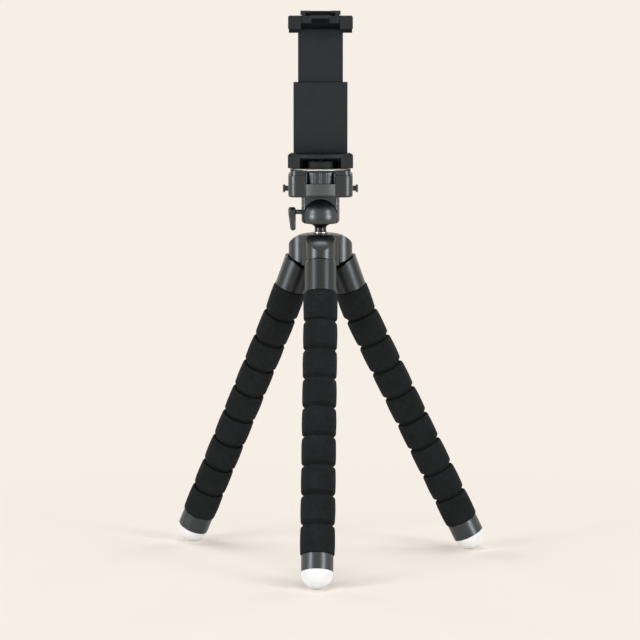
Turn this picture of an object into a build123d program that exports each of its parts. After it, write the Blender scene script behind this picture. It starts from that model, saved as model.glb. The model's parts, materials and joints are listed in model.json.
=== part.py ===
from build123d import *
from math import asin, atan2, cos, degrees, radians, sin, sqrt, tan
import os

os.makedirs("parts", exist_ok=True)

# Every length is in millimetres and every angle in degrees.
# The Z axis is the hub's own axis and Z = 0 is the floor that the three feet stand on.

# Clearances and one overrun for every cut
overrun = 40.0
fixed_gap = 0.01
running_gap = 0.06
face_gap = 0.1

# Legs: their places round the hub and how they stand
leg_names = ["front", "right", "left"]
cup_azimuths = {"front": -90.0, "right": 30.0, "left": 150.0}
leg_azimuths = {"front": -91.6, "right": 12.2, "left": 143.9}
cup_spread = 22.0
leg_spread = 26.35
hinge_reach = 13.0

# Hinge between hub and leg
pin_radius = 1.5
pin_length = 15.0
tongue_width = 8.0
tongue_radius = 4.4
slot_gap = 0.35

# Leg cup
cup_radius = 9.95
cup_top = 4.9
cup_end = 24.6
cup_wall = 1.6
cup_pocket = 5.0
cup_edge = 0.4

# Foam beads and the grooves between them
foam_radius = 10.8
bead_count = 9
bead_pitch = 18.85
groove_gap = 1.5
groove_depth = 0.9
groove_edge = 1.0
pivot_rise = 4.25

# Bending wire inside the leg
wire_radius = 2.0
wire_anchor = 9.0
bore_gap = 0.25
bore_flare = 12.0

# Ferrule and rubber foot
ferrule_radius = 9.85
ferrule_length = 10.7
ferrule_edge = 0.4
foot_radius = 9.85
foot_spigot_radius = 7.0
foot_spigot_length = 3.0
wire_tail = 5.0

# Hub
hub_rise = 13.0
hub_flat_radius = 8.0
hub_shoulder = 15.0
lobe_reach = 12.5
lobe_radius = 9.3
hub_core_radius = 13.0
lobe_seat = 3.9
hub_depth = 12.0

# Ball stem and its collar
ball_rise = 12.5
ball_radius = 8.9
neck_radius = 3.65
neck_fillet = 1.6
stem_radius = 3.0
stem_depth = 9.0
collar_radius = 4.85
collar_height = 1.4
collar_edge = 0.4

# Liner between ball and socket
liner_wall = 0.8
liner_low_angle = 80.0
liner_high_angle = 130.0

# Ball socket
socket_wall = 2.23
socket_roof = 1.58
socket_drop = 6.2
socket_edge = 2.2
bulge_wall = 2.18
bulge_drop = 1.4
flat_reach = 6.0
flat_edge = 1.2
arch_gap = 0.5
mouth_angle = 52.0
seam_width = 0.5
seam_depth = 0.8
seam_height = 8.0

# Lock lever
lever_rise = 1.0
stud_radius = 1.45
lever_gap = 3.55
lever_head_length = 4.8
lever_head_radius = 3.1
lever_head_edge = 1.5
lever_arm_thickness = 3.5
lever_tip_radius = 1.9
lever_drop = 9.9
lever_edge = 0.7

# Release housing
housing_half_width = 20.2
housing_height = 13.5
housing_wall = 1.7
housing_floor = 1.5
housing_edge = 1.3
window_half = 9.5
sill_rise = 1.0
window_edge = 1.2
panel_recess = 0.4
post_radius = 7.0

# Release buttons and their latch
button_travel = 2.0
button_stem_width = 3.0
button_stem_height = 3.2
button_head_size = 4.7
button_head_length = 1.4
button_head_edge = 0.5
catch_wall = 1.3
catch_width = 9.0
catch_height = 4.8
catch_floor_gap = 0.7
catch_engage = 1.0
catch_lip_height = 1.5
button_spring_radius = 1.8
button_spring_wall = 0.5

# Release plate, its two pairs of prongs and the disc on it
plate_thickness = 0.9
plate_inset = 1.3
skirt_height = 2.2
skirt_wall = 1.9
skirt_corner = 2.3
prong_thickness = 1.25
prong_gap = 0.5
prong_width = 2.4
hook_depth = 1.3
hook_height = 1.7
disc_overhang = 0.2
disc_thickness = 0.8
disc_edge = 0.25

# Thumb wheel and its screw
wheel_side_gap = 0.4
wheel_catch_gap = 0.3
wheel_gap = 0.2
wheel_rib_count = 24
wheel_rib_groove = 1.1
wheel_rib_depth = 0.6
screw_radius = 3.1
screw_tail = 2.6
screw_tip_gap = 0.7
screw_tip = 0.6
screw_hole_gap = 0.2

# Clamp: lower jaw and back channel
phone_gap = 77.5
jaw_half_width = 20.5
jaw_front = 16.5
jaw_front_radius = 25.0
jaw_corner = 2.0
jaw_base_height = 8.9
lip_height = 1.5
lip_line = 8.4
lip_edge = 0.9
shelf_thickness = 2.2
block_width = 7.6
jaw_pocket_back = 3.0
insert_boss_radius = 11.0
insert_boss_height = 4.4
insert_wall = 1.34
insert_roof = 1.2
channel_height = 53.5
channel_wall = 2.0
channel_side_wall = 2.7
channel_back_wall = 1.6
channel_edge = 1.5
pad_thickness = 1.2
pad_margin = 0.9
pad_tuck = 0.8

# Clamp: sliding upper jaw
slider_gap = 0.2
slider_thickness = 6.0
slider_half_width = 14.1
slider_length = 57.0
slider_corner = 1.5
upper_half_width = 20.2
upper_front = 10.6
upper_height = 8.0
upper_block_width = 7.9
bar_height = 4.4
bar_front_inset = 0.8
notch_half_width = 5.8
notch_height = 2.7
upper_lip_drop = 1.6
upper_lip_thickness = 1.7
upper_pad_rise = 0.8
upper_edge = 0.8

# Spring slots in the slider and the springs in them
spring_reach = 8.0
spring_radius = 2.3
spring_wall = 0.6
spring_slot_gap = 0.6
spring_slot_length = 21.0

# Accessory shoe on the upper jaw
shoe_half_width = 12.5
shoe_slot_half_width = 9.35
shoe_gap_half_width = 6.35
shoe_slot_height = 2.0
shoe_lip = 1.1
shoe_foot = 0.7
shoe_stop = 1.6
shoe_stop_drop = 0.2

# Radii and reaches worked out from what each piece holds or sits in
foam_bore = wire_radius + bore_gap
cavity_radius = ball_radius + liner_wall + 2 * running_gap
socket_radius = cavity_radius + socket_wall
bulge_radius = cavity_radius + bulge_wall
arch_radius = sqrt(bulge_radius ** 2 - flat_reach ** 2) + arch_gap
lever_inner = socket_radius + lever_gap
housing_corner = plate_inset + skirt_wall + skirt_corner
plate_half_width = housing_half_width - plate_inset
disc_radius = plate_half_width + disc_overhang
prong_outer = housing_half_width - housing_wall - slot_gap
prong_reach = prong_outer - prong_thickness
prong_inner = button_stem_width / 2 + prong_gap
hook_reach = prong_reach - hook_depth
catch_reach = hook_reach - catch_wall
wheel_radius = prong_reach - wheel_side_gap
housing_half_depth = wheel_radius + wheel_side_gap + housing_wall
insert_radius = screw_radius + running_gap + insert_wall
slider_front = channel_wall + slider_gap
channel_half_width = slider_half_width + slider_gap + channel_side_wall
jaw_rear = slider_front + slider_thickness + slider_gap + channel_back_wall

# Heights worked out from the stack
knee = cup_end + bead_pitch - pivot_rise
leg_length = cup_end + bead_count * bead_pitch + ferrule_length
hinge_height = (foot_radius + knee * cos(radians(cup_spread))
                + (leg_length - knee) * cos(radians(leg_spread)))
hub_top = hinge_height + hub_rise
ball_height = hub_top + ball_rise
socket_bottom = ball_height - socket_drop
housing_bottom = ball_height + cavity_radius + socket_roof
lever_height = ball_height + lever_rise
button_z = housing_bottom + housing_floor + catch_floor_gap + catch_height / 2
wheel_bottom = button_z + catch_height / 2 + wheel_catch_gap
housing_top = housing_bottom + housing_height
plate_bottom = housing_top + face_gap + skirt_height
disc_bottom = plate_bottom + plate_thickness
clamp_bottom = disc_bottom + disc_thickness + face_gap
shelf_top = clamp_bottom + jaw_base_height - pad_thickness
pad_top = shelf_top + pad_thickness
channel_top = clamp_bottom + channel_height
upper_face = pad_top + phone_gap
upper_bottom = upper_face + upper_pad_rise
upper_top = upper_bottom + upper_height
insert_top = shelf_top - insert_roof


def direction(spread, azimuth):
    """Unit vector down a leg that leans out by spread towards azimuth."""
    flat = sin(radians(spread))
    return Vector(flat * cos(radians(azimuth)), flat * sin(radians(azimuth)), -cos(radians(spread)))


def leg_frame(origin, spread, azimuth):
    """Frame on a leg: Z up the leg, Y along the hinge pin, X outwards."""
    down = direction(spread, azimuth)
    across = Vector(-sin(radians(azimuth)), cos(radians(azimuth)), 0)
    return Plane(origin=origin, x_dir=across.cross(-down), z_dir=-down).location


def hinge_point(name):
    azimuth = radians(cup_azimuths[name])
    return Vector(hinge_reach * cos(azimuth), hinge_reach * sin(azimuth), hinge_height)


def cup_frame(name):
    return leg_frame(hinge_point(name), cup_spread, cup_azimuths[name])


def knee_point(name):
    return hinge_point(name) + direction(cup_spread, cup_azimuths[name]) * knee


def lower_frame(name):
    """Frame at the knee, where the leg takes its own lean."""
    return leg_frame(knee_point(name), leg_spread, leg_azimuths[name])


def turned(edges):
    """Solid turned about Z from a closed outline in the XZ plane."""
    return revolve(Plane.XZ * make_face(edges), Axis.Z)


def ball_arc(centre, radius, first, last):
    """Arc of an outline about a point of Z, between two angles from straight down."""
    points = [(radius * sin(radians(angle)), centre - radius * cos(radians(angle)))
              for angle in (first, (first + last) / 2, last)]
    return ThreePointArc(*points)


def angle_at(across, radius):
    """Angle from straight down at which a circle lies at a distance across from its axis."""
    return degrees(asin(across / radius))


def tube(outer, inner, low, high):
    """Ring or tube on Z from one height to another."""
    height = high - low
    ring = Cylinder(outer, height) - Cylinder(inner, height + 2 * overrun)
    return Pos(0, 0, (low + high) / 2) * ring


def rod(radius, low, high):
    return Pos(0, 0, (low + high) / 2) * Cylinder(radius, high - low)


def block(x_range, y_range, z_range):
    """Box between two corners."""
    sizes = [pair[1] - pair[0] for pair in (x_range, y_range, z_range)]
    middle = [(pair[0] + pair[1]) / 2 for pair in (x_range, y_range, z_range)]
    return Pos(*middle) * Box(*sizes)


def rounded_block(inset, low, high):
    """Block on Z with the housing's plan, drawn in by an inset."""
    width = 2 * (housing_half_width - inset)
    depth = 2 * (housing_half_depth - inset)
    plan = RectangleRounded(width, depth, housing_corner - inset)
    return Pos(0, 0, low) * extrude(plan, high - low)


def both_sides(shape):
    """The shape and its mirror image across the YZ plane."""
    return [shape, mirror(shape, Plane.YZ)]


# Foam beads. Each groove is a nest: a dome under the bead above sits in a hollow of the bead below,
# and both are round about one pivot, so a bend turns the beads without closing the gap.
rim_radius = foam_radius - groove_depth
dome_radius = sqrt(rim_radius ** 2 + (pivot_rise - groove_gap / 2) ** 2)
hollow_radius = sqrt(rim_radius ** 2 + (pivot_rise + groove_gap / 2) ** 2)


def foam_bead(top, low, nests_above, nests_below):
    """Foam bead on Z: top and low are groove centres, or butt faces at the leg's ends."""
    bore_top = (foam_bore, top)
    rim_top = (rim_radius, top)
    top_edge = Line(bore_top, rim_top)
    if nests_above:
        top_edge = ball_arc(top + pivot_rise, hollow_radius, angle_at(foam_bore, hollow_radius),
                            angle_at(rim_radius, hollow_radius))
        bore_top = top_edge @ 0
        rim_top = top_edge @ 1
    rim_low = (rim_radius, low)
    bore_low = (foam_bore, low)
    low_edges = [Line(rim_low, bore_low), Line(bore_low, bore_top)]
    if nests_below:
        pivot = (foam_bore, low + pivot_rise)
        flare = foam_bore + dome_radius * tan(radians(bore_flare))
        dome = ball_arc(low + pivot_rise, dome_radius, angle_at(rim_radius, dome_radius),
                        angle_at(flare, dome_radius))
        rim_low = dome @ 0
        low_edges = [dome, Line(dome @ 1, pivot), Line(pivot, bore_top)]
    side_top = (foam_radius, Vector(rim_top).Y - groove_edge)
    side_low = (foam_radius, Vector(rim_low).Y + groove_edge)
    sides = [Line(rim_top, side_top), Line(side_top, side_low), Line(side_low, rim_low)]
    return turned([top_edge] + sides + low_edges)


def leg_foam(name):
    """The nine beads of one leg: the first on the cup's line, the rest on the leg's."""
    beads = [cup_frame(name) * foam_bead(-cup_end, -cup_end - bead_pitch, False, True)]
    for number in range(1, bead_count):
        top = knee - cup_end - number * bead_pitch
        beads.append(lower_frame(name) * foam_bead(top, top - bead_pitch, True, number < bead_count - 1))
    return beads


def wire_core(name):
    """Bending wire, from inside the cup to inside the ferrule, with its bend at the knee."""
    tail = leg_length - ferrule_length + wire_tail - knee
    upper = cup_frame(name) * rod(wire_radius, -knee, -cup_end + wire_anchor)
    lower = lower_frame(name) * rod(wire_radius, -tail, 0)
    bend = Pos(*knee_point(name)) * Sphere(wire_radius)
    return upper + lower + bend


def leg_cup(name):
    """Cup with an open top, a tongue for the hinge pin and a bore for the wire."""
    shell = rod(cup_radius, -cup_end, -cup_top)
    shell = chamfer(shell.edges().group_by(Axis.Z)[0], cup_edge)
    shell -= rod(cup_radius - cup_wall, -cup_top - cup_pocket, 0)
    # The inner rim is cut back, so that the leg folds in without meeting the hub.
    fold_room = Pos(0, 0, overrun / 2 - lobe_seat - slot_gap) * Box(overrun, overrun, overrun)
    shell -= Rot(0, -cup_spread, 0) * fold_room
    shank = block((-tongue_radius, tongue_radius), (-tongue_width / 2, tongue_width / 2),
                  (-cup_top - cup_pocket, 0))
    eye = Rot(90, 0, 0) * Cylinder(tongue_radius, tongue_width)
    bore = Rot(90, 0, 0) * Cylinder(pin_radius + running_gap, tongue_width + overrun)
    wire_hole = rod(wire_radius + fixed_gap, -cup_end, -cup_end + wire_anchor)
    return cup_frame(name) * (shell + shank + eye - bore - wire_hole)


def ferrule(name):
    """Cap on the leg's end that holds the wire's tail and the foot."""
    low = knee - leg_length
    body = rod(ferrule_radius, low, low + ferrule_length)
    body = chamfer(body.edges().group_by(Axis.Z)[-1], ferrule_edge)
    socket = rod(foot_spigot_radius, low, low + foot_spigot_length)
    wire_hole = rod(wire_radius + fixed_gap, low, low + ferrule_length)
    return lower_frame(name) * (body - socket - wire_hole)


def foot(name):
    """Half ball of rubber with a spigot that plugs into the ferrule."""
    low = knee - leg_length
    plug = foot_spigot_radius - fixed_gap
    top = low + foot_spigot_length - fixed_gap
    sole = ball_arc(low, foot_radius, 0, 90)
    outline = [sole, Line(sole @ 1, (plug, low)), Line((plug, low), (plug, top)),
               Line((plug, top), (0, top)), Line((0, top), sole @ 0)]
    return lower_frame(name) * turned(outline)


def hinge_pin(name):
    return cup_frame(name) * (Rot(90, 0, 0) * Cylinder(pin_radius, pin_length))


def hub():
    """Hub with three round lobes under one domed top, each slotted for a leg's tongue."""
    body = rod(hub_core_radius, hub_top - overrun, hub_top)
    for name in leg_names:
        azimuth = radians(cup_azimuths[name])
        lobe = rod(lobe_radius, hub_top - overrun, hub_top)
        body += Pos(lobe_reach * cos(azimuth), lobe_reach * sin(azimuth), 0) * lobe
    rim = lobe_reach + lobe_radius
    edge_reach = rim - hub_flat_radius
    edge_drop = hub_shoulder - sqrt(hub_shoulder ** 2 - edge_reach ** 2)
    flat = (hub_flat_radius, hub_top)
    edge = (rim, hub_top - edge_drop)
    foot_point = (rim, hub_top - overrun)
    axis_low = (0, hub_top - overrun)
    axis_top = (0, hub_top)
    dome = turned([Line(axis_top, flat), RadiusArc(flat, edge, hub_shoulder), Line(edge, foot_point),
                   Line(foot_point, axis_low), Line(axis_low, axis_top)])
    body = body & dome
    below = Pos(0, 0, -overrun - lobe_seat) * Box(4 * overrun, 4 * overrun, 2 * overrun)
    half_slot = tongue_width / 2 + slot_gap
    reach = tongue_radius + slot_gap
    for name in leg_names:
        slot = Rot(90, 0, 0) * Cylinder(reach, 2 * half_slot)
        shank = block((-reach, reach), (-half_slot, half_slot), (-hub_depth, 0))
        slot += shank
        slot += Rot(0, cup_spread, 0) * shank
        bore = Rot(90, 0, 0) * Cylinder(pin_radius + fixed_gap, pin_length)
        body -= cup_frame(name) * below
        body -= cup_frame(name) * slot
        body -= cup_frame(name) * bore
    return body - rod(stem_radius + fixed_gap, hub_top - stem_depth, hub_top)


def ball_stem():
    """Ball, its neck and the stem that is pressed into the hub."""
    ball = Pos(0, 0, ball_height) * Sphere(ball_radius)
    neck = rod(neck_radius, hub_top, ball_height)
    body = ball + neck
    root = body.edges().filter_by(GeomType.CIRCLE).filter_by_position(
        Axis.Z, hub_top + collar_height, ball_height)
    body = fillet(root, neck_fillet)
    return body + rod(stem_radius, hub_top - stem_depth, hub_top)


def stem_collar():
    ring = tube(collar_radius, neck_radius + fixed_gap, hub_top, hub_top + collar_height)
    outer = ring.edges().filter_by(GeomType.CIRCLE).group_by(SortBy.RADIUS)[-1]
    return chamfer(outer, collar_edge)


def ball_liner():
    """Spherical ring that the ball turns in, and that the socket grips."""
    inner = ball_arc(ball_height, ball_radius + running_gap, liner_low_angle, liner_high_angle)
    outer = ball_arc(ball_height, ball_radius + running_gap + liner_wall, liner_low_angle, liner_high_angle)
    return turned([inner, outer, Line(inner @ 0, outer @ 0), Line(inner @ 1, outer @ 1)])


def socket_cavity():
    """Round hollow for the ball and liner, with the flared mouth that lets the neck tilt."""
    low = socket_bottom - socket_edge
    wide = ((ball_height - low) * tan(radians(mouth_angle)), low)
    hollow = ball_arc(ball_height, cavity_radius, mouth_angle, 180)
    return turned([hollow, Line(hollow @ 0, wide), Line(wide, (0, low)), Line((0, low), hollow @ 1)])


def ball_housing():
    """Socket whose round bulge stands in an arch, between two straps with flat fronts."""
    sleeve = rod(socket_radius, socket_bottom, housing_bottom)
    sleeve = fillet(sleeve.edges().group_by(Axis.Z)[0], socket_edge)
    straps = rod(socket_radius, socket_bottom, housing_bottom) & block(
        (-overrun, overrun), (-flat_reach, flat_reach), (socket_bottom, housing_bottom))
    straps = fillet(straps.edges().filter_by(Axis.Z), flat_edge) & sleeve
    centre = ball_height - bulge_drop
    straps -= Pos(0, 0, centre) * Rot(90, 0, 0) * Cylinder(arch_radius, overrun)
    body = straps + (sleeve & (Pos(0, 0, centre) * Sphere(bulge_radius)))
    body -= socket_cavity()
    seam = block((-seam_width / 2, seam_width / 2), (-socket_radius - overrun, seam_depth - socket_radius),
                 (socket_bottom, socket_bottom + seam_height))
    stud_bore = Cylinder(stud_radius + running_gap, overrun)
    return body - seam - Pos(-overrun / 2, 0, lever_height) * Rot(0, 90, 0) * stud_bore


def lock_lever():
    """Lever with a round head on its stud. The stud's tip reaches the liner through the socket's wall."""
    outer = -lever_inner - lever_head_length
    head = Cylinder(lever_head_radius, lever_head_length)
    head = fillet(head.edges().filter_by(GeomType.CIRCLE), lever_head_edge)
    outline = make_hull(Circle(lever_head_radius - lever_edge).edges()
                        + (Pos(0, -lever_drop) * Circle(lever_tip_radius)).edges())
    arm = extrude(Plane.YZ * outline, lever_arm_thickness)
    arm = fillet(arm.edges().group_by(Axis.X)[0] + arm.edges().group_by(Axis.X)[-1], lever_edge)
    inset = (lever_head_length - lever_arm_thickness) / 2
    body = Pos(outer + lever_head_length / 2, 0, lever_height) * Rot(0, 90, 0) * head
    body += Pos(outer + inset, 0, lever_height) * arm
    tip = -cavity_radius - running_gap
    root = -lever_inner - lever_head_edge
    return body + Pos((tip + root) / 2, 0, lever_height) * Rot(0, 90, 0) * Cylinder(stud_radius, tip - root)


def release_housing():
    """Open box under the clamp, with a window at front and back and a hole for each button."""
    top = housing_top
    floor = housing_bottom + housing_floor
    sill = wheel_bottom + sill_rise
    body = rounded_block(0, housing_bottom, top)
    body = fillet(body.edges().group_by(Axis.Z)[0], housing_edge)
    body -= rounded_block(housing_wall, floor, top)
    for side in (-1, 1):
        reach = sorted((side * (housing_half_depth - panel_recess), side * overrun))
        body -= block((-window_half, window_half), reach, (housing_bottom + housing_edge, top))
    body -= block((-window_half, window_half), (-overrun, overrun), (sill, top))
    corners = body.edges().filter_by(Axis.Y).filter_by_position(Axis.Z, sill, sill)
    body = fillet(corners, window_edge)
    body += tube(post_radius, screw_radius + screw_hole_gap, floor, wheel_bottom - face_gap)
    half_width = button_stem_width / 2 + slot_gap / 2
    half_height = button_stem_height / 2 + slot_gap / 2
    body -= block((-overrun, -post_radius - running_gap), (-half_width, half_width),
                  (button_z - half_height, button_z + half_height))
    body -= block((post_radius + running_gap, overrun), (-half_width, half_width),
                  (button_z - half_height, button_z + half_height))
    return body


def release_button():
    """Right-hand button: square head, stem through the wall, and the catch that holds the hooks."""
    head_inner = housing_half_width + button_travel + face_gap
    head = block((head_inner, head_inner + button_head_length),
                 (-button_head_size / 2, button_head_size / 2),
                 (button_z - button_head_size / 2, button_z + button_head_size / 2))
    head = fillet(head.edges().group_by(Axis.X)[-1], button_head_edge)
    stem = block((catch_reach, head_inner), (-button_stem_width / 2, button_stem_width / 2),
                 (button_z - button_stem_height / 2, button_z + button_stem_height / 2))
    catch_low = button_z - catch_height / 2
    catch_top = catch_low + catch_height
    wall = block((catch_reach, catch_reach + catch_wall - 2 * face_gap),
                 (-catch_width / 2, catch_width / 2), (catch_low, catch_top))
    lip = block((catch_reach, hook_reach + catch_engage), (-catch_width / 2, catch_width / 2),
                (catch_top - catch_lip_height, catch_top))
    return head + stem + wall + lip


def button_spring():
    """Return spring behind the right-hand catch, as a sleeve of its outer size."""
    length = catch_reach - post_radius
    sleeve = Cylinder(button_spring_radius, length) - Cylinder(
        button_spring_radius - button_spring_wall, length)
    return Pos(post_radius + length / 2, 0, button_z) * Rot(0, 90, 0) * sleeve


def release_plate():
    """Plate under the clamp with a skirt on each side and hooked prongs that reach past the buttons."""
    body = rounded_block(plate_inset, plate_bottom, disc_bottom)
    skirt_low = plate_bottom - skirt_height
    skirt = rounded_block(plate_inset, skirt_low, plate_bottom)
    skirt -= rounded_block(plate_inset + skirt_wall, skirt_low, plate_bottom)
    skirt -= block((-window_half, window_half), (-overrun, overrun),
                   (plate_bottom - overrun, plate_bottom))
    body += skirt
    hook_top = button_z + catch_height / 2 - catch_lip_height - 3 * face_gap
    low = hook_top - hook_height
    across = (prong_inner, prong_inner + prong_width)
    prong = block((prong_reach, prong_outer), across, (low, plate_bottom))
    hook = block((hook_reach, prong_outer), across, (low, hook_top))
    for pair in both_sides(prong + hook):
        body += pair
        body += mirror(pair, Plane.XZ)
    return body - rod(screw_radius + screw_hole_gap, plate_bottom, disc_bottom)


def top_disc():
    """Thin bright disc that the clamp is screwed down on."""
    ring = tube(disc_radius, screw_radius + screw_hole_gap, disc_bottom, disc_bottom + disc_thickness)
    outer = ring.edges().filter_by(GeomType.CIRCLE).group_by(SortBy.RADIUS)[-1]
    return chamfer(outer, disc_edge)


def thumb_wheel():
    """Ribbed wheel that turns the mounting screw, reached through the windows."""
    low = wheel_bottom
    high = plate_bottom - wheel_gap
    body = rod(wheel_radius, low, high)
    groove_reach = wheel_radius + wheel_rib_groove - wheel_rib_depth
    groove = Pos(groove_reach, 0, (low + high) / 2) * Cylinder(wheel_rib_groove, high - low)
    for number in range(wheel_rib_count):
        body -= Rot(0, 0, number * 360 / wheel_rib_count) * groove
    return body - rod(screw_radius + fixed_gap, low, high)


def mounting_screw():
    """Quarter-inch screw, fast in the wheel."""
    low = wheel_bottom - screw_tail
    high = insert_top - screw_tip_gap
    body = rod(screw_radius, low, high)
    return chamfer(body.edges().group_by(Axis.Z)[-1], screw_tip)


def jaw_plan(front, half_width, rear):
    """Outline of a jaw from above: a bowed front, straight sides and a straight rear."""
    drop = jaw_front_radius - sqrt(jaw_front_radius ** 2 - half_width ** 2)
    front_left = (-half_width, -front + drop)
    front_right = (half_width, -front + drop)
    rear_right = (half_width, rear)
    rear_left = (-half_width, rear)
    return make_face([RadiusArc(front_right, front_left, jaw_front_radius), Line(front_left, rear_left),
                      Line(rear_left, rear_right), Line(rear_right, front_right)])


def clamp_base():
    """Lower jaw with its side blocks and lips, and the channel behind that guides the upper jaw."""
    plan = jaw_plan(jaw_front, jaw_half_width, jaw_rear)
    body = Pos(0, 0, clamp_bottom) * extrude(plan, pad_top + lip_height - clamp_bottom)
    body = fillet(body.edges().filter_by(Axis.Z).group_by(Axis.Y)[-1], jaw_corner)
    # The seat between lips and back is cut down to the shelf, the middle of the lips goes too.
    body -= block((-overrun, overrun), (-lip_line, overrun), (shelf_top, pad_top + overrun))
    inner = jaw_half_width - block_width
    body -= block((-inner, inner), (-overrun, overrun), (pad_top, pad_top + overrun))
    slope = Rot(0, -degrees(atan2(lip_height, block_width)), 0)
    above = slope * block((0, overrun), (-overrun, overrun), (0, overrun))
    for side in both_sides(Pos(inner, 0, pad_top) * above):
        body -= side
    body = fillet(body.edges().filter_by(Axis.Y).group_by(Axis.Z)[-1], lip_edge)
    body -= block((-inner, inner), (-overrun, -jaw_pocket_back),
                  (clamp_bottom, pad_top - shelf_thickness))
    boss = rod(insert_boss_radius, clamp_bottom, clamp_bottom + insert_boss_height)
    body += boss & block((-overrun, overrun), (-overrun, jaw_rear), (clamp_bottom, pad_top))
    channel = block((-channel_half_width, channel_half_width), (0, jaw_rear), (clamp_bottom, channel_top))
    channel = fillet(channel.edges().filter_by(Axis.Z).group_by(Axis.Y)[-1], channel_edge)
    body += channel
    body -= block((-slider_half_width - slider_gap, slider_half_width + slider_gap),
                  (channel_wall, channel_wall + slider_thickness + 2 * slider_gap),
                  (pad_top, channel_top + overrun))
    # The pad's rear edge is tucked under the channel's face.
    body -= block((-overrun, overrun), (0, pad_tuck), (shelf_top, pad_top + face_gap))
    return body - rod(insert_radius + fixed_gap, clamp_bottom, insert_top)


def thread_insert():
    """Steel insert in the lower jaw for the mounting screw."""
    return tube(insert_radius, screw_radius + running_gap, clamp_bottom, insert_top)


def lower_jaw_pad():
    """Rubber pad on the lower jaw's shelf."""
    half_width = jaw_half_width - pad_margin
    return block((-half_width, half_width), (pad_margin - lip_line, pad_tuck - face_gap),
                 (shelf_top, pad_top))


def accessory_shoe():
    """Slotted shoe on top of the upper jaw, open at the front, with a stop at the back."""
    low = upper_top
    high = upper_top + shoe_slot_height + shoe_lip
    rear = channel_wall + slider_gap + slider_thickness
    body = block((-shoe_half_width, shoe_half_width), (-upper_front + bar_front_inset, rear), (low, high))
    slot = (-overrun, rear - shoe_stop)
    body -= block((-shoe_slot_half_width, shoe_slot_half_width), slot, (low, low + shoe_slot_height))
    body -= block((-shoe_gap_half_width, shoe_gap_half_width), slot, (low, high))
    body -= block((-shoe_gap_half_width, shoe_gap_half_width), (0, overrun), (high - shoe_stop_drop, high))
    undercut = block((shoe_half_width - shoe_foot, shoe_half_width), (-overrun, overrun),
                     (low, low + shoe_foot))
    for side in both_sides(undercut):
        body -= side
    return body


def upper_jaw():
    """Upper jaw with two side blocks and a notched bar, on the plate that slides in the channel."""
    rear = slider_front + slider_thickness
    body = block((-upper_half_width, upper_half_width), (-upper_front, rear), (upper_bottom, upper_top))
    body = fillet(body.edges().filter_by(Axis.Y).group_by(Axis.Z)[-1], upper_edge)
    inner = upper_half_width - upper_block_width
    body -= block((-inner, inner), (-overrun, -pad_margin), (upper_bottom, upper_top - bar_height))
    body -= block((-inner, inner), (-overrun, bar_front_inset - upper_front), (upper_bottom, upper_top))
    body -= block((-notch_half_width, notch_half_width), (-overrun, -pad_margin),
                  (upper_bottom, upper_top - bar_height + notch_height))
    slider = block((-slider_half_width, slider_half_width), (slider_front, rear),
                   (upper_bottom - slider_length, upper_bottom))
    slider = fillet(slider.edges().filter_by(Axis.Y).group_by(Axis.Z)[0], slider_corner)
    body += slider
    slot_half_width = spring_radius + spring_slot_gap
    slot_low = upper_bottom - slider_length
    for side in (-spring_reach, spring_reach):
        body -= block((side - slot_half_width, side + slot_half_width), (0, overrun),
                      (slot_low, slot_low + spring_slot_length))
    return body + accessory_shoe()


def upper_jaw_pad():
    """Rubber shoe under the upper jaw, with a lip in front of each side block."""
    half_width = upper_half_width - pad_margin / 2
    front = -upper_front + upper_lip_thickness
    body = block((-half_width, half_width), (front, -face_gap), (upper_face, upper_bottom))
    inner = upper_half_width - upper_block_width
    lip = block((inner, half_width), (-upper_front + face_gap, front),
                (upper_face - upper_lip_drop, upper_bottom))
    for side in both_sides(lip):
        body += side
    return body


def clamp_springs():
    """The two pull springs in the slider's slots, as sleeves of their outer size."""
    low = pad_top + slider_gap
    high = upper_bottom - slider_length + spring_slot_length - slider_gap
    middle = slider_front + slider_thickness / 2
    sleeve = tube(spring_radius, spring_radius - spring_wall, low, high)
    return Compound([Pos(side, middle, 0) * sleeve for side in (-spring_reach, spring_reach)])


nodes = {
    "hub": hub(),
    "hinge_pins": Compound([hinge_pin(name) for name in leg_names]),
    "ball_stem": ball_stem(),
    "stem_collar": stem_collar(),
    "ball_liner": ball_liner(),
    "ball_housing": ball_housing(),
    "lock_lever": lock_lever(),
    "release_housing": release_housing(),
    "right_release_button": release_button(),
    "left_release_button": mirror(release_button(), Plane.YZ),
    "button_springs": Compound(both_sides(button_spring())),
    "release_plate": release_plate(),
    "top_disc": top_disc(),
    "thumb_wheel": thumb_wheel(),
    "mounting_screw": mounting_screw(),
    "clamp_base": clamp_base(),
    "thread_insert": thread_insert(),
    "lower_jaw_pad": lower_jaw_pad(),
    "upper_jaw": upper_jaw(),
    "upper_jaw_pad": upper_jaw_pad(),
    "clamp_springs": clamp_springs(),
}
for name in leg_names:
    nodes[name + "_leg_cup"] = leg_cup(name)
    nodes[name + "_wire_core"] = wire_core(name)
    for number, bead in enumerate(leg_foam(name), start=1):
        nodes[name + "_foam_" + str(number)] = bead
    nodes[name + "_ferrule"] = ferrule(name)
    nodes[name + "_foot"] = foot(name)

for name, shape in nodes.items():
    export_step(shape, "parts/" + name + ".step")

print("hinge height", round(hinge_height, 3), "ball height", round(ball_height, 3))
print("whole height", round(upper_top + shoe_slot_height + shoe_lip, 3))
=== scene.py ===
import bmesh
import bpy
import json
from math import cos, pi, radians, sin, sqrt
from mathutils import Matrix, Vector, noise


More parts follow.
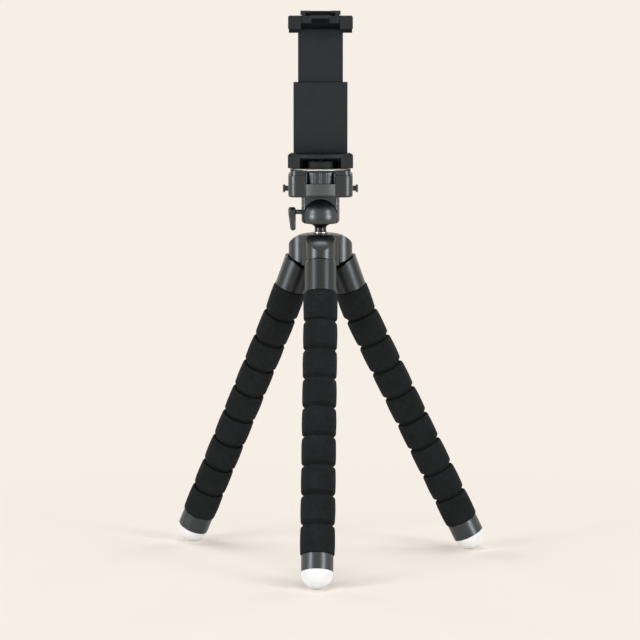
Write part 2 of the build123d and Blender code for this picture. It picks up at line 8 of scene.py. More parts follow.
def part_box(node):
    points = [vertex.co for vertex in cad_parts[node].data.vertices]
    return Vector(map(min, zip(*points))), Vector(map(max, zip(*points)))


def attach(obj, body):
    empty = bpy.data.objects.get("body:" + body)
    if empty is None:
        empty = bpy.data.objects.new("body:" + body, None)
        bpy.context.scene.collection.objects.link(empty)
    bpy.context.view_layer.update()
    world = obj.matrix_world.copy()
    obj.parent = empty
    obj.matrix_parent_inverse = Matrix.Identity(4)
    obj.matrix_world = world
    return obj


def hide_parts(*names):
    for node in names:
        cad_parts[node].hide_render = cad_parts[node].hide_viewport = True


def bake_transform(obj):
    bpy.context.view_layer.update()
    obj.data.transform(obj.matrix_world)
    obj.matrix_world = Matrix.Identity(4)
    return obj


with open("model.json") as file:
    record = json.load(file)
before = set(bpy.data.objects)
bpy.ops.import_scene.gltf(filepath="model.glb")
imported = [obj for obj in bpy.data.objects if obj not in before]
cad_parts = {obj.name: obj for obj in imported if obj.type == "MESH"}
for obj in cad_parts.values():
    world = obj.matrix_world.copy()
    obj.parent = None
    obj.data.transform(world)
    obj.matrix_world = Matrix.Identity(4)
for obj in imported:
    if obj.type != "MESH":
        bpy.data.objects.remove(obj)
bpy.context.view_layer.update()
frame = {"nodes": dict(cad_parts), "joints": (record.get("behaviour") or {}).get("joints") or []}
mm = 0.001
legNames = ("front", "right", "left")
joints = {joint["name"]: joint for joint in frame["joints"]}
print("frame loaded:", len(frame["nodes"]), "parts")


class Signal:
    # One socket of a node tree. The usual operators add Math nodes to the tree.
    def __init__(self, graph, socket):
        self.graph = graph
        self.socket = socket

    def __add__(self, other):
        return self.graph.math("ADD", self, other)

    def __sub__(self, other):
        return self.graph.math("SUBTRACT", self, other)

    def __rsub__(self, other):
        return self.graph.math("SUBTRACT", other, self)

    def __mul__(self, other):
        return self.graph.math("MULTIPLY", self, other)

    __radd__ = __add__
    __rmul__ = __mul__


class Graph:
    # A node tree of a material, the world or a mesh
    def __init__(self, tree):
        self.tree = tree
        self.tree.nodes.clear()

    def feed(self, socket, value):
        if isinstance(value, Signal):
            self.tree.links.new(value.socket, socket)
        else:
            socket.default_value = value

    def node(self, kind, settings=None, inputs=None, output=0):
        fresh = self.tree.nodes.new(kind)
        for key, value in (settings or {}).items():
            setattr(fresh, key, value)
        for key, value in (inputs or {}).items():
            self.feed(fresh.inputs[key], value)
        return Signal(self, fresh.outputs[output]) if fresh.outputs else None

    def math(self, operation, first, second=0.0):
        return self.node("ShaderNodeMath", {"operation": operation}, {0: first, 1: second})

    def mixed(self, share, dark, light):
        return self.node("ShaderNodeMix", {"data_type": "RGBA"}, {0: share, 6: dark, 7: light}, 2)

    def place(self):
        return self.node("ShaderNodeTexCoord", output="Object")

    def axes(self):
        # The place along X, Y and Z
        parts = self.node("ShaderNodeSeparateXYZ", None, {0: self.place()}).socket.node
        return [Signal(self, socket) for socket in parts.outputs]

    def distance(self, spot):
        return self.node("ShaderNodeVectorMath", {"operation": "DISTANCE"}, {0: self.place(), 1: spot}, "Value")

    def grain(self, size, detail=3.0, roughness=0.5):
        # Noise whose blobs are about size metres across
        return self.node("ShaderNodeTexNoise", None, {"Vector": self.place(), "Scale": 1 / size,
                                                      "Detail": detail, "Roughness": roughness})

    def cells(self, size):
        return self.node("ShaderNodeTexVoronoi", None, {"Vector": self.place(), "Scale": 1 / size})

    def between(self, value, low, high):
        # 0 below low, 1 above high, straight between them
        return self.node("ShaderNodeMapRange", None, {0: value, 1: low, 2: high, 3: 0.0, 4: 1.0})

    def rays(self, *kinds):
        # 1 for rays of any of these kinds
        path = self.node("ShaderNodeLightPath").socket.node
        share = Signal(self, path.outputs[f"Is {kinds[0]} Ray"])
        for kind in kinds[1:]:
            share = self.math("MAXIMUM", share, Signal(self, path.outputs[f"Is {kind} Ray"]))
        return share


class Finish(Graph):
    # A material with one Principled shader, whose steady values are set on its own sockets
    bevelSamples = 6

    def __init__(self, name, steady):
        self.material = bpy.data.materials.new(name)
        self.material.use_nodes = True
        super().__init__(self.material.node_tree)
        self.coat = self.node("ShaderNodeBsdfPrincipled", None, steady)
        self.shader = self.coat.socket.node
        self.output = self.tree.nodes.new("ShaderNodeOutputMaterial")
        self.surface(self.coat)

    def surface(self, shown):
        self.feed(self.output.inputs["Surface"], shown)

    def relief(self, height, depth, edge=0.0):
        # Bumps of a depth in metres, on edges rounded by a radius where one is given
        inputs = {"Strength": 1.0, "Distance": depth, "Height": height}
        if edge:
            inputs["Normal"] = self.node("ShaderNodeBevel", {"samples": self.bevelSamples}, {"Radius": edge})
        self.feed(self.shader.inputs["Normal"], self.node("ShaderNodeBump", None, inputs))

    def colour(self, value):
        self.feed(self.shader.inputs["Base Color"], value)

    def dullness(self, value):
        self.feed(self.shader.inputs["Roughness"], value)


def grey(level, warm=0.0):
    return (level * (1 + warm), level, level * (1 - warm), 1)


# Finishes: every value that sets how a surface looks, with sizes, depths and edges in metres
coolGlint = (0.86, 0.94, 1.0, 1)  # black plastics mirror a little bluish
foamLook = {
    "dark": 0.0085, "darkTint": -0.06, "light": 0.0165, "lightTint": -0.10, "darkUpTo": 0.34, "lightFrom": 0.66,
    "patchSize": 0.011, "patchShare": 0.45, "moundSize": 0.0021, "moundShare": 0.55, "moundHeight": 1.4,
    "poreSize": 0.00042, "poreHeight": 0.6, "depth": 0.00010, "dullness": 0.93, "spread": 0.08, "gloss": 0.08,
}
mouldBody = {"broadSize": 0.009, "wander": 0.12, "tint": -0.12}
mouldLooks = {
    "hubGloss": {"level": 0.0045, "dullness": 0.33, "gloss": 0.72, "spread": 0.05, "grainSize": 0.0009,
                 "grainDepth": 0.000006, "edge": 0.00035},
    "cupGloss": {"level": 0.0030, "dullness": 0.36, "gloss": 0.55, "spread": 0.05, "grainSize": 0.0009,
                 "grainDepth": 0.000006, "edge": 0.0003},
    "socketGloss": {"level": 0.0060, "dullness": 0.33, "gloss": 0.90, "spread": 0.04, "grainSize": 0.0006,
                    "grainDepth": 0.000005, "edge": 0.00035},
    "controlGloss": {"level": 0.0080, "dullness": 0.36, "gloss": 0.78, "spread": 0.06, "grainSize": 0.0006,
                     "grainDepth": 0.000006, "edge": 0.0003},
    "clampSatin": {"level": 0.0200, "dullness": 0.55, "gloss": 0.14, "spread": 0.05, "grainSize": 0.00035,
                   "grainDepth": 0.000010, "edge": 0.00035},
    "capSatin": {"level": 0.0080, "dullness": 0.34, "gloss": 0.80, "spread": 0.06, "grainSize": 0.0005,
                 "grainDepth": 0.000008, "edge": 0.0003},
    "padRubber": {"level": 0.0060, "dullness": 0.72, "gloss": 0.10, "spread": 0.08, "grainSize": 0.0005,
                  "grainDepth": 0.000020, "edge": 0.0002},
    "linerPlastic": {"level": 0.4500, "dullness": 0.42, "gloss": 0.30, "spread": 0.05, "grainSize": 0.0006,
                     "grainDepth": 0.000008, "edge": 0.0002},
}
panelLook = {"level": 0.040, "dullness": 0.44, "spread": 0.04, "half": 0.00945, "crown": 22.0,
             "depth": 0.0032, "foot": 0.0015}
footLook = {"level": 0.81, "darkShare": 0.965, "tint": -0.022, "dullness": 0.40, "spread": 0.08, "gloss": 0.45,
            "broadSize": 0.006, "grainSize": 0.0012, "grainDepth": 0.000008}
metalBody = {"broadSize": 0.004, "darkShare": 0.92, "tint": -0.01, "spread": 0.08}
metalLooks = {
    "discMetal": {"level": 0.46, "dullness": 0.46, "lineSize": 0.0004},
    "stemMetal": {"level": 0.035, "dullness": 0.22, "lineSize": 0.0009},
    "insertMetal": {"level": 0.02, "dullness": 0.55, "lineSize": 0.0004},
    "collarMetal": {"level": 0.45, "dullness": 0.20, "lineSize": 0.0009},
    "plainSteel": {"level": 0.50, "dullness": 0.28, "lineSize": 0.0004},
    "coreWire": {"level": 0.46, "dullness": 0.34, "lineSize": 0.0003},
}


def makeFoam():
    look = foamLook
    foam = Finish("denseFoam", {"Specular IOR Level": look["gloss"]})
    patches = foam.grain(look["patchSize"], detail=4.0, roughness=0.62)
    mounds = foam.grain(look["moundSize"], detail=5.0, roughness=0.7)
    pores = foam.cells(look["poreSize"])
    blend = patches * look["patchShare"] + mounds * look["moundShare"]
    share = foam.between(blend, look["darkUpTo"], look["lightFrom"])
    foam.colour(foam.mixed(share, grey(look["dark"], look["darkTint"]), grey(look["light"], look["lightTint"])))
    foam.dullness(look["dullness"] - mounds * look["spread"])
    foam.relief(pores * look["poreHeight"] + mounds * look["moundHeight"], look["depth"])
    return foam


def makeMould(name, look, crown=0.0):
    # A crown bends the shading of a flat front panel a little towards its two ends.
    mould = Finish(name, {"Specular IOR Level": look["gloss"], "Specular Tint": coolGlint})
    broad = mould.grain(mouldBody["broadSize"])
    fine = mould.grain(look["grainSize"], detail=2.0)
    dark = grey(look["level"] * (1 - mouldBody["wander"]), mouldBody["tint"])
    light = grey(look["level"] * (1 + mouldBody["wander"]), mouldBody["tint"])
    mould.colour(mould.mixed(broad, dark, light))
    mould.dullness(broad * look["spread"] + (look["dullness"] - look["spread"] / 2))
    height = fine * look["grainDepth"]
    if crown:
        held = mould.math("MINIMUM", mould.math("ABSOLUTE", mould.axes()[0]), panelLook["half"])
        height = height - held * held * crown
    mould.relief(height, 1.0, look["edge"])
    return mould


def makeHousing():
    # The housing's front holds a bare panel with a duller, lighter face.
    look = mouldLooks["hubGloss"]
    housing = makeMould("housingGloss", look, panelLook["crown"])
    low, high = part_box("release_housing")
    across, depth, height = housing.axes()
    inside = housing.math("LESS_THAN", housing.math("ABSOLUTE", across), panelLook["half"])
    inside = inside * housing.math("LESS_THAN", depth, low.y + panelLook["depth"])
    inside = inside * housing.math("GREATER_THAN", height, low.z + panelLook["foot"])
    broad = housing.grain(mouldBody["broadSize"])
    housing.colour(housing.mixed(inside, grey(look["level"]), grey(panelLook["level"])))
    duller = inside * (panelLook["dullness"] - look["dullness"])
    housing.dullness(duller + look["dullness"] + broad * panelLook["spread"])
    return housing


def makeFoot():
    look = footLook
    rubber = Finish("whiteRubber", {"Specular IOR Level": look["gloss"]})
    broad = rubber.grain(look["broadSize"])
    fine = rubber.grain(look["grainSize"])
    dark = grey(look["level"] * look["darkShare"], look["tint"])
    rubber.colour(rubber.mixed(broad, dark, grey(look["level"], look["tint"])))
    rubber.dullness(broad * look["spread"] + look["dullness"])
    rubber.relief(fine, look["grainDepth"])
    return rubber


def makeMetal(name, look):
    metal = Finish(name, {"Metallic": 1.0})
    lines = metal.grain(look["lineSize"], detail=2.0)
    broad = metal.grain(metalBody["broadSize"], detail=2.0)
    dark = grey(look["level"] * metalBody["darkShare"])
    metal.colour(metal.mixed(broad, dark, grey(look["level"], metalBody["tint"])))
    metal.dullness(lines * metalBody["spread"] + look["dullness"])
    return metal


finishes = {name: makeMould(name, look) for name, look in mouldLooks.items()}
finishes.update({name: makeMetal(name, look) for name, look in metalLooks.items()})
finishes["housingGloss"] = makeHousing()
finishes["denseFoam"] = makeFoam()
finishes["whiteRubber"] = makeFoot()
print("finishes made:", len(finishes))


class MeshTree(Graph):
    # A Geometry Nodes tree with named inputs, which gives a plain mesh for each set of their values
    def __init__(self, name, defaults):
        super().__init__(bpy.data.node_groups.new(name, "GeometryNodeTree"))
        self.sockets = {}
        for label, value in defaults.items():
            kind = "NodeSocketInt" if isinstance(value, int) else "NodeSocketFloat"
            socket = self.tree.interface.new_socket(label, in_out="INPUT", socket_type=kind)
            socket.default_value = value
            self.sockets[label] = socket.identifier
        self.tree.interface.new_socket("Geometry", in_out="OUTPUT", socket_type="NodeSocketGeometry")
        entry = self.tree.nodes.new("NodeGroupInput")
        self.given = {label: Signal(self, entry.outputs[label]) for label in defaults}

    def vector(self, **parts):
        return self.node("ShaderNodeCombineXYZ", None, parts)

    def swept(self, curve, section):
        # A solid bar with a section along a curve
        inputs = {"Curve": curve, "Profile Curve": section, "Fill Caps": True}
        return self.node("GeometryNodeCurveToMesh", None, inputs)

    def close(self, geometry, finish):
        smooth = self.node("GeometryNodeSetShadeSmooth", None, {"Geometry": geometry})
        real = self.node("GeometryNodeRealizeInstances", None, {"Geometry": smooth})
        inputs = {"Geometry": real, "Material": finishes[finish].material}
        self.node("NodeGroupOutput", None, {"Geometry": self.node("GeometryNodeSetMaterial", None, inputs)})

    def mesh(self, values):
        # The carrier and its modifier are gone once the mesh is made.
        label = self.tree.name + "Carrier"
        carrier = bpy.data.objects.new(label, bpy.data.meshes.new(label))
        bpy.context.scene.collection.objects.link(carrier)
        modifier = carrier.modifiers.new(label, "NODES")
        modifier.node_group = self.tree
        for key, value in values.items():
            modifier[self.sockets[key]] = value
        mesh = bpy.data.meshes.new_from_object(carrier.evaluated_get(bpy.context.evaluated_depsgraph_get()))
        bpy.data.objects.remove(carrier)
        return mesh


def loosePiece(name, mesh, finish):
    # A piece that takes no parent.
    piece = bpy.data.objects.new(name, mesh)
    bpy.context.scene.collection.objects.link(piece)
    piece.data.materials.clear()
    piece.data.materials.append(finishes[finish].material)
    return piece


def newPiece(name, mesh, finish, body):
    piece = loosePiece(name, mesh, finish)
    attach(piece, body)
    return piece


def meshFrom(work, name):
    bmesh.ops.recalc_face_normals(work, faces=work.faces)
    mesh = bpy.data.meshes.new(name)
    work.to_mesh(mesh)
    work.free()
    for face in mesh.polygons:
        face.use_smooth = True
    return mesh


def axesAlong(down):
    # Two directions square to a leg's own, the first one level
    side = down.cross(Vector((0, 0, 1))).normalized()
    return side, down.cross(side).normalized()


def spokes(side, other, count):
    # Directions all round a line, from two that are square to it
    turns = [2 * pi * number / count for number in range(count)]
    return [side * cos(turn) + other * sin(turn) for turn in turns]


def joinRows(work, rows):
    for above, below in zip(rows, rows[1:]):
        for step in range(len(above)):
            after = (step + 1) % len(above)
            work.faces.new((above[step], above[after], below[after], below[step]))


def joinAndCap(work, rows):
    joinRows(work, rows)
    work.faces.new(rows[0])
    work.faces.new(rows[-1])


def turnedRing(profile, origin, down, segments, shift=None):
    # A closed ring turned about a line. Its profile holds (radius, distance down the line) in millimetres.
    around = spokes(*axesAlong(down), segments)
    work = bmesh.new()
    rows = []
    for radius, along in profile:
        row = []
        for outwards in around:
            point = origin + down * (along * mm) + outwards * (radius * mm)
            if shift:
                point = shift(point, outwards, radius)
            row.append(work.verts.new(point))
        rows.append(row)
    joinRows(work, rows + rows[:1])
    return work


# Foam beads, in millimetres
foamShape = {
    "beads": 9, "radius": 10.8, "pitch": 18.85, "cupEnd": 24.6, "pivotRise": 4.25, "grooveGap": 2.3,
    "grooveDepth": 1.25, "shoulder": 1.35, "crown": 0.20, "bore": 2.3, "flare": 7.1, "flareEase": 0.3,
    "flareDrop": 0.6, "lump": 0.07, "lumpSize": 7.0, "fineShare": 0.5, "fineSize": 0.35, "inset": 0.8,
    "segments": 80, "sideRows": 12, "shoulderRows": 7, "nestRows": 7,
}


def beadProfile(nestsAbove, nestsBelow):
    # From the bore's top outwards, down the side and back in to the bore's foot
    shape = foamShape
    bore, pitch, rise, shoulder = (shape[key] for key in ("bore", "pitch", "pivotRise", "shoulder"))
    rim = shape["radius"] - shape["grooveDepth"]
    full = shape["radius"] - shape["crown"]
    gap = shape["grooveGap"] / 2
    across = [bore + (rim - bore) * step / shape["nestRows"] for step in range(shape["nestRows"] + 1)]
    if nestsAbove:
        hollow = sqrt(rim ** 2 + (rise + gap) ** 2)
        profile = [(radius, sqrt(hollow ** 2 - radius ** 2) - rise) for radius in across]
    else:
        profile = [(radius, 0.0) for radius in across]
    top = profile[-1][1]
    low = pitch - gap if nestsBelow else pitch
    rows = shape["shoulderRows"]
    for step in range(1, rows + 1):
        turn = pi / 2 * step / rows
        profile.append((rim + (full - rim) * sin(turn), top + shoulder * (1 - cos(turn))))
    length = low - top - 2 * shoulder
    for step in range(1, shape["sideRows"]):
        share = step / shape["sideRows"]
        profile.append((full + shape["crown"] * (1 - (2 * share - 1) ** 2), top + shoulder + length * share))
    for step in range(rows + 1):
        turn = pi / 2 * (1 - step / rows)
        profile.append((rim + (full - rim) * sin(turn), low - shoulder * (1 - cos(turn))))
    inwards = across[-2::-1]
    if not nestsBelow:
        return profile + [(radius, pitch) for radius in inwards]
    # The bore flares below the pivot, so that the wire bends freely.
    dome = sqrt(rim ** 2 + (rise - gap) ** 2)
    pivot = pitch - rise
    domed = [radius for radius in inwards if radius > shape["flare"]] + [shape["flare"]]
    profile += [(radius, pivot + sqrt(dome ** 2 - radius ** 2)) for radius in domed]
    return profile + [(bore + shape["flareEase"], pivot), (bore, pivot - shape["flareDrop"])]


def foamShift(point, outwards, radius):
    # Foam is cut a little unevenly: its outside wanders by about a tenth of a millimetre, mostly inwards.
    shape = foamShape
    if radius < shape["radius"] - shape["grooveDepth"]:
        return point
    wander = noise.noise(point / (shape["lumpSize"] * mm))
    wander += shape["fineShare"] * noise.noise(point / (shape["lumpSize"] * shape["fineSize"] * mm))
    return point + outwards * (shape["lump"] * mm * (wander - shape["inset"]))


def legLines(name):
    # A leg's hinge and first pivot, and the ways down from each
    lastBend = foamShape["beads"] - 1
    hinge = Vector(joints[f"{name}_leg_hinge"]["pos_m"])
    knee = Vector(joints[f"{name}_bend_1"]["pos_m"])
    last = Vector(joints[f"{name}_bend_{lastBend}"]["pos_m"])
    return hinge, knee, (knee - hinge).normalized(), (last - knee).normalized()


def beadLine(name, number):
    # The top of a bead and the way down the leg there
    hinge, knee, upper, lower = legLines(name)
    if number == 1:
        return hinge + upper * (foamShape["cupEnd"] * mm), upper
    along = foamShape["pivotRise"] + (number - 2) * foamShape["pitch"]
    return knee + lower * (along * mm), lower


def makeFoamBeads():
    beads = foamShape["beads"]
    for name in legNames:
        for number in range(1, beads + 1):
            top, down = beadLine(name, number)
            profile = beadProfile(number > 1, number < beads)
            work = turnedRing(profile, top, down, foamShape["segments"], foamShift)
            mesh = meshFrom(work, f"{name}Bead{number}")
            piece = newPiece(f"{name}_bead_{number}", mesh, "denseFoam", f"{name}_leg_{number}")
            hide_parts(f"{name}_foam_{number}")
    print("foam beads made:", len(legNames) * beads)


makeFoamBeads()


# Bending wires, in millimetres
wireShape = {"radius": 2.0, "topAlong": 15.6, "tail": 160.05, "bendReach": 4.0, "rowStep": 1.2, "segments": 20,
             "kneeReach": 0.01}


def wireAlong(name, low, high):
    # A capped length of wire between two distances down from the first pivot, less than 0 in the cup
    shape = wireShape
    hinge, knee, upper, lower = legLines(name)
    steps = max(2, round((high - low) / shape["rowStep"]))
    spots = [low + (high - low) * step / steps for step in range(steps + 1)]
    if low < 0 < high and min(abs(spot) for spot in spots) > shape["kneeReach"]:
        spots = sorted(spots + [0.0])
    side = axesAlong(lower)[0]
    work = bmesh.new()
    rows = []
    for spot in spots:
        way = upper if spot < 0 else lower
        down = (upper + lower).normalized() if abs(spot) < shape["kneeReach"] else way
        first = (side - down * side.dot(down)).normalized()
        centre = knee + way * (spot * mm)
        around = spokes(first, down.cross(first), shape["segments"])
        rows.append([work.verts.new(centre + outwards * (shape["radius"] * mm)) for outwards in around])
    joinAndCap(work, rows)
    return meshFrom(work, f"{name}Wire")


def makeWires():
    # Each length runs between the two beads that it joins, and meets the next one in the middle of a bead. The
    # first and last ride on their beads, and those between take no parent.
    pitch = foamShape["pitch"]
    beads = foamShape["beads"]
    top = wireShape["topAlong"] - foamShape["cupEnd"] - pitch + foamShape["pivotRise"]
    meets = [pitch * (number - 0.5) for number in range(beads)]
    for name in legNames:
        for label, low, high, bead in (("top", top, meets[0], 1), ("end", meets[-1], wireShape["tail"], beads)):
            mesh = wireAlong(name, low, high)
            piece = newPiece(f"{name}_wire_{label}", mesh, "coreWire", f"{name}_leg_{bead}")
            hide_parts(f"{name}_wire_core")
        for number, (low, high) in enumerate(zip(meets, meets[1:]), 1):
            piece = loosePiece(f"{name}_wire_{number}", wireAlong(name, low, high), "coreWire")
            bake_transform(piece)
            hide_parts(f"{name}_wire_core")
    print("wires made:", len(legNames) * (beads + 1))


makeWires()


# Springs, in millimetres
springLooks = {
    "clamp": {"outer": 2.3, "wire": 0.30, "turns": 26.0},
    "button": {"outer": 1.8, "wire": 0.24, "turns": 6.0, "seat": 7.0},
}
coilTree = {"inputs": {"coilRadius": 0.002, "wireRadius": 0.0003, "turns": 10.0, "length": 0.020},
            "stepsPerTurn": 24, "sectionSides": 10}


def makeCoilTree():
    # A wire swept along a spiral that rises along Z from the origin
    coil = MeshTree("coilSpring", coilTree["inputs"])
    given = coil.given
    spiral = coil.node("GeometryNodeCurveSpiral", None, {
        "Resolution": coilTree["stepsPerTurn"], "Rotations": given["turns"], "Height": given["length"],
        "Start Radius": given["coilRadius"], "End Radius": given["coilRadius"]})
    section = coil.node("GeometryNodeCurvePrimitiveCircle", None, {
        "Resolution": coilTree["sectionSides"], "Radius": given["wireRadius"]})
    coil.close(coil.swept(spiral, section), "plainSteel")
    return coil


def coilMesh(coil, look, start, end):
    # One coil between two points
    wire = look["wire"] * mm
    mesh = coil.mesh({"coilRadius": look["outer"] * mm - wire, "wireRadius": wire, "turns": look["turns"],
                      "length": (end - start).length - 2 * wire})
    along = (end - start).normalized()
    turned = along.to_track_quat("Z", "Y").to_matrix().to_4x4()
    mesh.transform(Matrix.Translation(start + along * wire) @ turned)
    return mesh


def makeSprings():
    coil = makeCoilTree()
    sides = ((-1, "left"), (1, "right"))
    low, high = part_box("clamp_springs")
    look = springLooks["clamp"]
    across = high.x - look["outer"] * mm
    depth = (low.y + high.y) / 2
    for side, label in sides:
        start = Vector((side * across, depth, low.z))
        end = Vector((side * across, depth, high.z))
        spring = loosePiece(f"{label}_clamp_spring", coilMesh(coil, look, start, end), "plainSteel")
        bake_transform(spring)
        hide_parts("clamp_springs")
    low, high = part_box("button_springs")
    look = springLooks["button"]
    height = (low.z + high.z) / 2
    for side, label in sides:
        start = Vector((side * look["seat"] * mm, 0, height))
        end = Vector((side * high.x, 0, height))
        spring = loosePiece(f"{label}_button_spring", coilMesh(coil, look, start, end), "plainSteel")
        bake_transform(spring)
        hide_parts("button_springs")
    print("springs made:", 2 * len(sides))


makeSprings()


# Ribs on the two rubber pads, in millimetres. Each row stops short of its pad's front and back,
# and stands on a face that lies below the pad's top.
ribShape = {"width": 0.9, "height": 0.3, "spacing": 2.2, "margin": 1.4}
ribPads = {
    "lower_pad_ribs": {"pad": "lower_jaw_pad", "body": "clamp", "front": 0.7, "back": 1.5, "face": 0.0},
    "upper_pad_ribs": {"pad": "upper_jaw_pad", "body": "jaw", "front": 2.3, "back": 0.7, "face": 0.8},
}
ribTree = {"inputs": {"count": 8, "spacing": 0.002, "length": 0.01, "width": 0.0008, "height": 0.0003},
           "sectionSides": 16, "sectionRadius": 0.5}


def makeRibTree():
    # Half-sunk round bars side by side along X, each running along Y from the origin
    ribs = MeshTree("padRibs", ribTree["inputs"])
    given = ribs.given
    line = ribs.node("GeometryNodeCurvePrimitiveLine", None, {"End": ribs.vector(Y=given["length"])})
    section = ribs.node("GeometryNodeCurvePrimitiveCircle", None, {
        "Resolution": ribTree["sectionSides"], "Radius": ribTree["sectionRadius"]})
    places = ribs.node("GeometryNodeMeshLine", None, {
        "Count": given["count"], "Offset": ribs.vector(X=given["spacing"])})
    laid = ribs.node("GeometryNodeInstanceOnPoints", None, {
        "Points": places, "Instance": ribs.swept(line, section),
        "Scale": ribs.vector(X=given["width"], Y=1.0, Z=given["height"])})
    ribs.close(laid, "padRubber")
    return ribs


def makePadRibs():
    ribs = makeRibTree()
    spacing = ribShape["spacing"]
    for name, seat in ribPads.items():
        low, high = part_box(seat["pad"])
        across = (high.x - low.x) / mm - 2 * ribShape["margin"]
        count = int(across / spacing) + 1
        mesh = ribs.mesh({"count": count, "spacing": spacing * mm, "width": ribShape["width"] * mm,
                          "length": high.y - low.y - (seat["front"] + seat["back"]) * mm,
                          "height": 2 * ribShape["height"] * mm})
        first = (low.x + high.x) / 2 - (count - 1) / 2 * spacing * mm
        mesh.transform(Matrix.Translation((first, low.y + seat["front"] * mm, high.z - seat["face"] * mm)))
        newPiece(name, mesh, "padRubber", seat["body"])
    print("pad ribs made:", len(ribPads))


makePadRibs()


# Lock lever and its stud, in millimetres
leverShape = {"headLength": 4.8, "headRadius": 3.1, "headEdge": 1.5, "neckLength": 2.5, "armThickness": 3.5,
              "armWidth": 2.7, "drop": 11.8, "tipRadius": 1.75, "tipWidth": 1.9, "thinnest": 0.05,
              "bluntX": 0.55, "bluntY": 0.75, "segments": 40, "rows": 40}
studShape = {"centre": 0.0001, "seat": 0.8, "radius": 1.45, "taper": 1.2, "taperRadius": 1.15, "edge": 0.2,
             "endRadius": 0.95, "segments": 32, "weld": 0.002}


def drawnIn(radius, short):
    # How far a rounded edge has drawn in where it is still short of its end by some distance
    return radius * (1 - sqrt(max(1 - (1 - short / radius) ** 2, 0)))


def blunted(value, power):
    return abs(value) ** power * (1 if value > 0 else -1)


def leverRow(up):
    # Outer face, inner face and half width of the lever at a height over its pivot
    shape = leverShape
    inner, outer = shape["headLength"] / 2, -shape["headLength"] / 2
    top, bottom = shape["headRadius"], -shape["drop"]
    width = sqrt(max(top ** 2 - max(up, 0) ** 2, 0.0))
    share = min(max(-up / (shape["drop"] - shape["tipRadius"]), 0), 1)
    if up < 0:
        width = top + (shape["armWidth"] - top) * min(-up / shape["neckLength"], 1)
        width += (shape["tipWidth"] - shape["armWidth"]) * share
        outer += (shape["headLength"] - shape["armThickness"]) * share
    if up > top - shape["headEdge"]:
        pull = drawnIn(shape["headEdge"], top - up)
        inner, outer = inner - pull, outer + pull
    if up < bottom + shape["tipRadius"]:
        pull = drawnIn(shape["tipRadius"], up - bottom)
        inner, outer, width = inner - pull, outer + pull, width - pull
    return outer, inner, max(width, shape["thinnest"])


def studProfile(reach):
    shape = studShape
    return [(shape["centre"], 0), (shape["seat"], 0), (shape["radius"], 0),
            (shape["radius"], reach - shape["taper"]), (shape["taperRadius"], reach - shape["edge"]),
            (shape["endRadius"], reach), (shape["centre"], reach)]


def makeLever():
    # One smooth body: a round head that runs into an arm tapering towards its rounded tip
    low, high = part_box("lock_lever")
    shape = leverShape
    pivot = Vector((low.x + shape["headLength"] / 2 * mm, 0, high.z - shape["headRadius"] * mm))
    work = bmesh.new()
    rows = []
    for number in range(shape["rows"] + 1):
        share = (1 - cos(pi * number / shape["rows"])) / 2
        up = shape["headRadius"] - share * (shape["headRadius"] + shape["drop"])
        outer, inner, width = leverRow(up)
        row = []
        for step in range(shape["segments"]):
            turn = 2 * pi * step / shape["segments"]
            across = (outer + inner) / 2 + (inner - outer) / 2 * blunted(cos(turn), shape["bluntX"])
            place = Vector((across, width * blunted(sin(turn), shape["bluntY"]), up))
            row.append(work.verts.new(pivot + place * mm))
        rows.append(row)
    joinAndCap(work, rows)
    profile = studProfile((high.x - pivot.x) / mm)
    stud = turnedRing(profile, pivot, Vector((1, 0, 0)), studShape["segments"])
    work.from_mesh(meshFrom(stud, "leverStud"))
    bmesh.ops.remove_doubles(work, verts=work.verts, dist=studShape["weld"] * mm)
    lever = newPiece("lever", meshFrom(work, "lever"), "controlGloss", "lever")
    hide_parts("lock_lever")
    print("lever made")


makeLever()


# Finishes on the carried-over parts
carried = {
    "hub": "hubGloss", "hinge_pins": "plainSteel", "ball_stem": "stemMetal", "stem_collar": "collarMetal",
    "ball_liner": "linerPlastic", "ball_housing": "socketGloss", "lock_lever": "controlGloss",
    "release_housing": "housingGloss", "right_release_button": "controlGloss",
    "left_release_button": "controlGloss", "button_springs": "plainSteel", "release_plate": "hubGloss",
    "top_disc": "discMetal", "thumb_wheel": "controlGloss", "mounting_screw": "plainSteel",
    "clamp_base": "clampSatin", "thread_insert": "insertMetal", "lower_jaw_pad": "padRubber",
    "upper_jaw": "clampSatin", "upper_jaw_pad": "padRubber", "clamp_springs": "plainSteel",
}
for name in legNames:
    carried[name + "_leg_cup"] = "cupGloss"
    carried[name + "_wire_core"] = "coreWire"
    carried[name + "_ferrule"] = "capSatin"
    carried[name + "_foot"] = "whiteRubber"
for name, finish in carried.items():
    node = frame["nodes"][name]
    node.data.materials.clear()
    node.data.materials.append(finishes[finish].material)
print("carried parts finished:", len(carried))


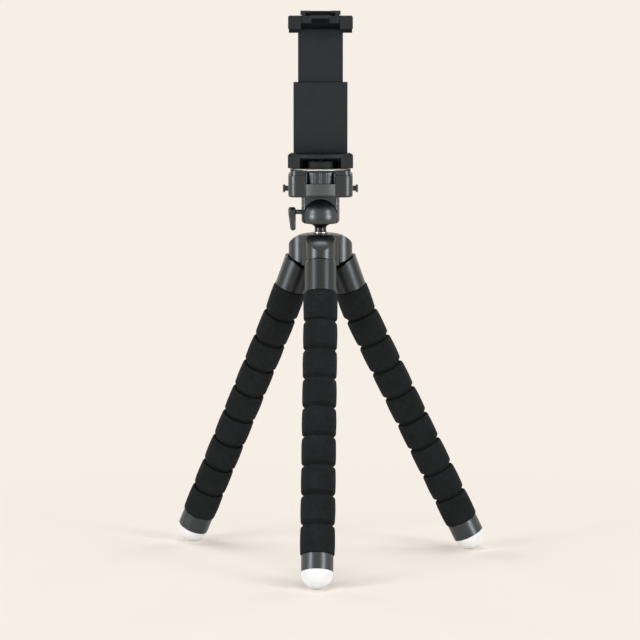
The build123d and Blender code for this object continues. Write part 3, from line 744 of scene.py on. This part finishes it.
# Floor, lights and camera, in metres, degrees and watts. A shadow's reach says where it starts to fade
# and where it ends.
studio = {
    "paper": (0.922, 0.863, 0.791, 1), "paperDullness": 0.9, "floorReach": 6.0, "backdropAt": 2.2,
    "backdropRise": 3.0, "bend": 0.8, "bendSteps": 12, "shadowShare": 0.30, "shadowReach": (0.16, 0.42),
    "footShadow": 0.50, "footReach": (0.015, 0.070), "ambient": 0.10, "ambientColour": (1.0, 0.985, 0.965, 1),
}
camera = {"place": (-0.0003, -2.000, 0.3864), "pitch": 6.67, "lens": 178.8, "sensor": 36.0}
lamps = {
    "lowLeft": {"turn": -52, "away": 1.25, "height": 0.15, "size": (0.42, 0.29), "power": 6.4, "aim": 0.18},
    "lowRight": {"turn": 50, "away": 1.25, "height": 0.15, "size": (0.42, 0.29), "power": 6.4, "aim": 0.18},
    "highLeft": {"turn": -54, "away": 1.10, "height": 0.66, "size": (0.32, 0.30), "power": 3.9, "aim": 0.05},
    "highRight": {"turn": 50, "away": 1.10, "height": 0.66, "size": (0.32, 0.30), "power": 3.9, "aim": 0.05},
    "backLeft": {"turn": -140, "away": 1.30, "height": 0.60, "size": (0.45, 0.45), "power": 4.6, "aim": 0.12},
    "backRight": {"turn": 140, "away": 1.30, "height": 0.60, "size": (0.45, 0.45), "power": 4.6, "aim": 0.12},
    "topPanel": {"turn": 0, "away": 0.05, "height": 1.60, "size": (0.60, 0.50), "power": 8.8, "aim": 0.10},
}


def makePaper():
    # Paper that the camera and what mirrors it see as itself, with the object's shadow near its feet only
    paper = Finish("palePaper", {"Roughness": studio["paperDullness"], "Specular IOR Level": 0.0})
    paper.colour(studio["paper"])
    seen = paper.rays("Camera", "Glossy", "Transmission")
    glow = paper.node("ShaderNodeEmission", None, {"Color": studio["paper"]})
    faded = paper.between(paper.distance((0, 0, 0)), *studio["shadowReach"])
    share = 1 - studio["shadowShare"] + studio["shadowShare"] * faded
    nearest = None
    for name in legNames:
        low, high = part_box(name + "_foot")
        gap = paper.distance(((low.x + high.x) / 2, (low.y + high.y) / 2, 0))
        nearest = paper.math("MINIMUM", nearest, gap) if nearest else gap
    share = share - studio["footShadow"] * (1 - paper.between(nearest, *studio["footReach"]))
    paper.surface(paper.node("ShaderNodeMixShader", None, {0: seen * share, 1: paper.coat, 2: glow}))
    return paper.material


def makeSweep():
    # One sheet: level under the object, then bent up behind it
    work = bmesh.new()
    reach, bend, steps = studio["floorReach"], studio["bend"], studio["bendSteps"]
    bendAt = studio["backdropAt"] - bend
    line = [(-reach, 0.0), (bendAt, 0.0)]
    for step in range(1, steps + 1):
        turn = pi / 2 * step / steps
        line.append((bendAt + bend * sin(turn), bend * (1 - cos(turn))))
    line.append((studio["backdropAt"], studio["backdropRise"]))
    rows = [[work.verts.new((side * reach, along, up)) for side in (-1, 1)] for along, up in line]
    for first, second in zip(rows, rows[1:]):
        work.faces.new((first[0], first[1], second[1], second[0]))
    mesh = meshFrom(work, "paperSweep")
    sweep = bpy.data.objects.new("paperSweep", mesh)
    bpy.context.scene.collection.objects.link(sweep)
    mesh.materials.append(makePaper())


def makeLamps():
    for name, lamp in lamps.items():
        light = bpy.data.lights.new(name, "AREA")
        light.shape = "RECTANGLE"
        light.size, light.size_y = lamp["size"]
        light.energy = lamp["power"]
        holder = bpy.data.objects.new(name, light)
        bpy.context.scene.collection.objects.link(holder)
        turn = radians(lamp["turn"])
        spot = Vector((sin(turn) * lamp["away"], -cos(turn) * lamp["away"], lamp["height"]))
        holder.location = spot
        holder.rotation_euler = (Vector((0, 0, lamp["aim"])) - spot).to_track_quat("-Z", "Y").to_euler()


def makeAir():
    # The world gives a little even light, and looks like the paper to the camera and in what mirrors it.
    world = bpy.data.worlds.new("studioAir")
    bpy.context.scene.world = world
    world.use_nodes = True
    air = Graph(world.node_tree)
    seen = air.rays("Camera", "Glossy", "Transmission")
    light = air.node("ShaderNodeBackground", None, {
        "Color": studio["ambientColour"], "Strength": studio["ambient"]})
    paper = air.node("ShaderNodeBackground", None, {"Color": studio["paper"], "Strength": 1.0})
    mixed = air.node("ShaderNodeMixShader", None, {0: seen, 1: light, 2: paper})
    air.node("ShaderNodeOutputWorld", None, {"Surface": mixed})


def makeCamera():
    lens = bpy.data.cameras.new("photoCamera")
    lens.lens = camera["lens"]
    lens.sensor_width = camera["sensor"]
    holder = bpy.data.objects.new("photoCamera", lens)
    bpy.context.scene.collection.objects.link(holder)
    holder.location = camera["place"]
    holder.rotation_euler = (radians(90 - camera["pitch"]), 0, 0)
    bpy.context.scene.camera = holder


makeSweep()
makeLamps()
makeAir()
makeCamera()
bpy.context.scene.view_settings.view_transform = "Standard"
print("studio made")
